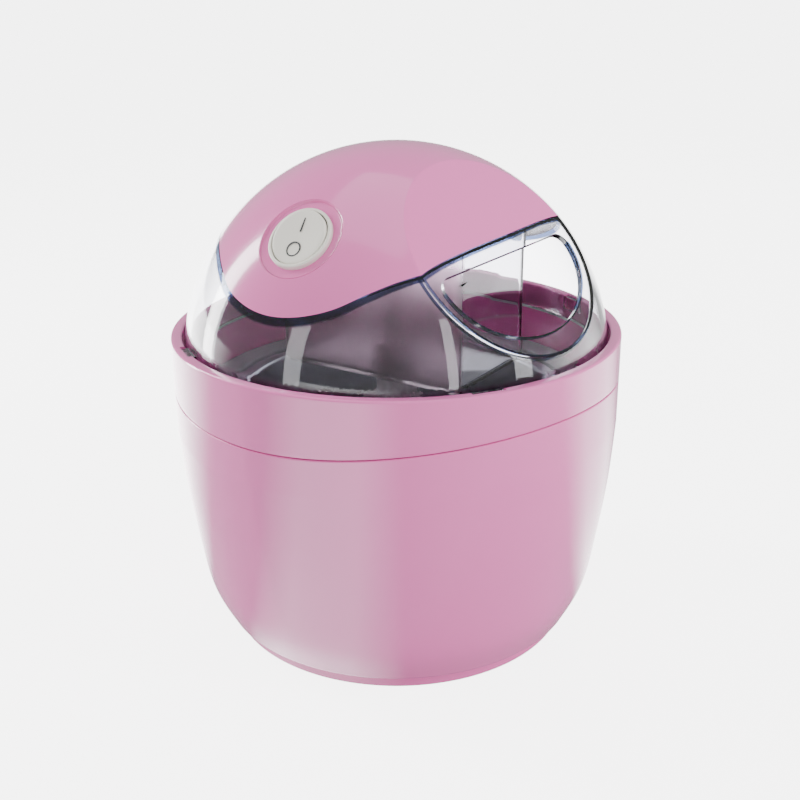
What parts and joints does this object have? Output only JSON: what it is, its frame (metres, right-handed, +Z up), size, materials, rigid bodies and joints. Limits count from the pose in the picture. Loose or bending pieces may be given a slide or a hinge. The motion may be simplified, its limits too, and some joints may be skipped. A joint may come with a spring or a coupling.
{
  "type": "ice cream maker",
  "caption": "Small countertop ice cream maker: gloss base with removable freezing bowl, clear domed lid with filling opening, motor cap with rocker switch, and paddle.",
  "frame": {"origin": "centre of the base on the surface it stands on", "axes": "+Z up through the top of the dome, -Y towards the side with the switch, +X towards the side with the filling opening"},
  "size_m": [0.174, 0.174, 0.1911],
  "materials": {
    "pink_plastic": "high gloss moulded pink plastic",
    "clear_plastic": "clear tinted styrene acrylonitrile, polished",
    "cream_plastic": "satin off-white plastic",
    "bowl_aluminium": "spun aluminium with a coated inside",
    "bowl_plastic": "grey polypropylene",
    "paddle_plastic": "translucent white polypropylene",
    "rubber": "matte rubber",
    "silicone": "translucent silicone",
    "screw_steel": "zinc plated",
    "shaft_steel": "ground stainless steel",
    "motor_steel": "galvanised sheet",
    "copper": "enamelled copper winding",
    "magnet": "ferrite magnet",
    "gear_plastic": "acetal",
    "bronze": "sintered bronze and brass",
    "black_plastic": "moulded black plastic",
    "lead_pvc": "PVC insulation",
    "coolant_gel": "sealed freezing gel"
  },
  "bodies": {
    "base": {"outer_bowl": "pink_plastic", "collar_ring": "pink_plastic", "rubber_feet": "rubber", "collar_screws": "screw_steel", "seat_pads": "silicone"},
    "freezer_bowl": {"bowl_liner": "bowl_aluminium", "freezer_shell": "bowl_plastic", "fill_plug": "silicone", "rim_seal": "silicone", "coolant": "coolant_gel"},
    "lid_unit": {"lid": "clear_plastic", "lid_seal": "silicone"},
    "paddle_unit": {"paddle": "paddle_plastic", "paddle_clip": "screw_steel"},
    "motor_unit": {"motor_cover": "pink_plastic", "motor_base": "pink_plastic", "cover_screws": "screw_steel", "motor_screws": "screw_steel", "motor_can": "motor_steel", "motor_coil": "copper", "idler_pin": "screw_steel", "shaft_bush": "bronze", "gearbox_housing": "gear_plastic", "gearbox_plate": "motor_steel", "switch_bezel": "cream_plastic", "micro_switch": "black_plastic", "switch_terminals": "bronze", "terminal_block": "black_plastic", "cord_gland": "rubber", "lead_live": "lead_pvc", "lead_motor": "lead_pvc", "lead_neutral": "lead_pvc"},
    "output_drive": {"output_gear": "gear_plastic", "drive_shaft": "shaft_steel", "drive_coupling": "paddle_plastic"},
    "idler": {"idler_gear": "gear_plastic"},
    "rotor_body": {"rotor": "magnet"},
    "rocker": {"switch_rocker": "cream_plastic"}
  },
  "joints": [
    {"name": "lid_lift", "type": "slide", "parent": "base", "child": "lid_unit", "axis": [0, 0, 1], "range_m": [0, 0.2]},
    {"name": "freezer_bowl_lift", "type": "slide", "parent": "base", "child": "freezer_bowl", "axis": [0, 0, 1], "range_m": [0, 0.1]},
    {"name": "motor_unit_lift", "type": "slide", "parent": "lid_unit", "child": "motor_unit", "axis": [0, 0, 1], "range_m": [0, 0.08]},
    {"name": "paddle_spin", "type": "hinge", "parent": "lid_unit", "child": "paddle_unit", "pos_m": [0, 0, 0.11], "axis": [0, 0, 1], "continuous": true},
    {"name": "output_spin", "type": "hinge", "parent": "motor_unit", "child": "output_drive", "pos_m": [0, 0, 0.16], "axis": [0, 0, 1], "continuous": true},
    {"name": "idler_spin", "type": "hinge", "parent": "motor_unit", "child": "idler", "pos_m": [0.0129, 0.004, 0.162], "axis": [0, 0, 1], "continuous": true},
    {"name": "rotor_spin", "type": "hinge", "parent": "motor_unit", "child": "rotor_body", "pos_m": [0, 0.008, 0.17], "axis": [0, 0, 1], "continuous": true},
    {"name": "rocker_tilt", "type": "hinge", "parent": "motor_unit", "child": "rocker", "pos_m": [0, -0.0572, 0.16565], "axis": [-1, 0, 0], "range_deg": [0, 14]}
  ],
  "couplings": [
    {"joint": "freezer_bowl_lift", "follows": "lid_lift", "ratio": 0.5},
    {"joint": "output_spin", "follows": "paddle_spin", "ratio": 1},
    {"joint": "idler_spin", "follows": "paddle_spin", "ratio": -3.5},
    {"joint": "rotor_spin", "follows": "paddle_spin", "ratio": 12.25}
  ]
}
